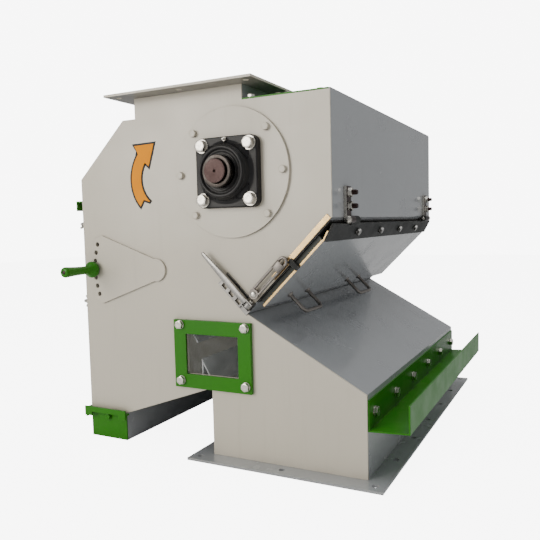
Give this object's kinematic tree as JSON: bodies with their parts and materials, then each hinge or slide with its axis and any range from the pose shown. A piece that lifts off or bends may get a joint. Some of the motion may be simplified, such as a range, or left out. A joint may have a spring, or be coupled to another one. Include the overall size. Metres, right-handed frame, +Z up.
{
  "type": "hammer mill",
  "caption": "Sheet steel mill casing with a swing hammer rotor on flanged bearings, top inlet flange, hinged slanting clean-out door, flap set by a clamp lever, hopper base and side spout",
  "frame": {"origin": "centre of the base flange's bolt pattern, on the floor it stands on", "axes": "+Z up; +Y along the rotor shaft towards the drive end at the rear; +X towards the door side"},
  "size_m": [0.761, 1.034, 0.751],
  "materials": {
    "cream_paint": "semi-gloss warm light grey enamel on folded steel sheet",
    "grey_paint": "semi-gloss cool grey enamel on folded steel sheet",
    "green_paint": "glossy bright green enamel",
    "stainless": "satin stainless steel",
    "latch_steel": "pressed steel, dull from handling",
    "dark_steel": "dark grey enamel on steel strip",
    "wear_steel": "bare wear steel, slightly worn",
    "shaft_steel": "turned steel with a brownish oil film",
    "bearing_steel": "ground bearing steel",
    "bearing_iron": "black enamel on cast iron",
    "zinc": "bright zinc plating",
    "pane_clear": "clear sight pane",
    "gasket_rubber": "black sponge rubber strip",
    "arrow_paint": "yellow orange marking"
  },
  "bodies": {
    "casing": {"side_plate_front": "cream_paint", "side_plate_rear": "cream_paint", "back_wall": "cream_paint", "neck_right_wall": "grey_paint", "right_wall": "grey_paint", "leg_floor": "grey_paint", "hopper_roof": "grey_paint", "inlet_flange": "cream_paint", "base_flange": "grey_paint", "top_rails": "grey_paint", "top_cover": "green_paint", "door_seat": "stainless", "door_sill": "grey_paint", "spout_cap_front": "green_paint", "spout_cap_rear": "green_paint", "divider_plates": "grey_paint", "feed_deflector": "wear_steel", "screen": "wear_steel", "screen_rails": "wear_steel", "cover_disc_front": "cream_paint", "cover_disc_rear": "cream_paint", "cover_disc_bolts": "cream_paint", "bearing_housing_front": "bearing_iron", "bearing_housing_rear": "bearing_iron", "bearing_outer_rings": "bearing_steel", "bearing_bolts": "zinc", "grease_nipples": "zinc", "window_frames": "green_paint", "window_panes": "pane_clear", "window_bolts": "zinc", "side_tray": "green_paint", "tray_bolts": "zinc", "hinge_straps": "shaft_steel", "hinge_pins": "zinc", "casing_bolts": "zinc", "access_cover": "cream_paint", "cover_rails": "green_paint", "cover_studs": "zinc", "rotation_arrow": "arrow_paint", "latch_base": "latch_steel", "latch_pins": "zinc"},
    "rotor": {"rotor_shaft": "shaft_steel", "rotor_discs": "wear_steel", "disc_spacers": "wear_steel", "hammer_rods": "wear_steel", "bearing_inner_rings": "bearing_steel"},
    "hammer_row_1": {"hammers_1": "wear_steel"},
    "hammer_row_2": {"hammers_2": "wear_steel"},
    "hammer_row_3": {"hammers_3": "wear_steel"},
    "hammer_row_4": {"hammers_4": "wear_steel"},
    "door": {"door_panel": "grey_paint", "door_gasket": "gasket_rubber", "door_top_bar": "dark_steel", "door_bar_bolts": "latch_steel", "door_handles": "wear_steel"},
    "flap": {"flap_blade": "wear_steel", "flap_lever": "cream_paint"},
    "clamp": {"clamp_handle": "green_paint"},
    "lever": {"latch_lever": "latch_steel"},
    "loop": {"latch_loop": "latch_steel"}
  },
  "joints": [
    {"name": "rotor_spin", "type": "hinge", "parent": "casing", "child": "rotor", "pos_m": [-0.1045, 0, 0.578], "axis": [0, 1, 0], "continuous": true},
    {"name": "hammer_swing_1", "type": "hinge", "parent": "rotor", "child": "hammer_row_1", "pos_m": [-0.04793, 0, 0.63457], "axis": [0, 1, 0], "continuous": true},
    {"name": "hammer_swing_2", "type": "hinge", "parent": "rotor", "child": "hammer_row_2", "pos_m": [-0.16107, 0, 0.63457], "axis": [0, 1, 0], "continuous": true},
    {"name": "hammer_swing_3", "type": "hinge", "parent": "rotor", "child": "hammer_row_3", "pos_m": [-0.16107, 0, 0.52143], "axis": [0, 1, 0], "continuous": true},
    {"name": "hammer_swing_4", "type": "hinge", "parent": "rotor", "child": "hammer_row_4", "pos_m": [-0.04793, 0, 0.52143], "axis": [0, 1, 0], "continuous": true},
    {"name": "door_swing", "type": "hinge", "parent": "casing", "child": "door", "pos_m": [0.1125, 0, 0.481], "axis": [0, -1, 0], "range_deg": [0, 110]},
    {"name": "flap_tilt", "type": "hinge", "parent": "casing", "child": "flap", "pos_m": [-0.2945, 0, 0.385], "axis": [0, 1, 0], "range_deg": [-19.2, 19.2]},
    {"name": "clamp_turn", "type": "hinge", "parent": "flap", "child": "clamp", "pos_m": [-0.4615, 0, 0.385], "axis": [0, 1, 0], "range_deg": [-180, 0]},
    {"name": "latch_lift", "type": "hinge", "parent": "casing", "child": "lever", "pos_m": [-0.0685, -0.402, 0.32], "axis": [0.7071, 0, 0.7071], "range_deg": [0, 150]},
    {"name": "loop_swing", "type": "hinge", "parent": "casing", "child": "loop", "pos_m": [-0.057, -0.398, 0.3415], "axis": [0, 1, 0], "range_deg": [0, 80]}
  ]
}
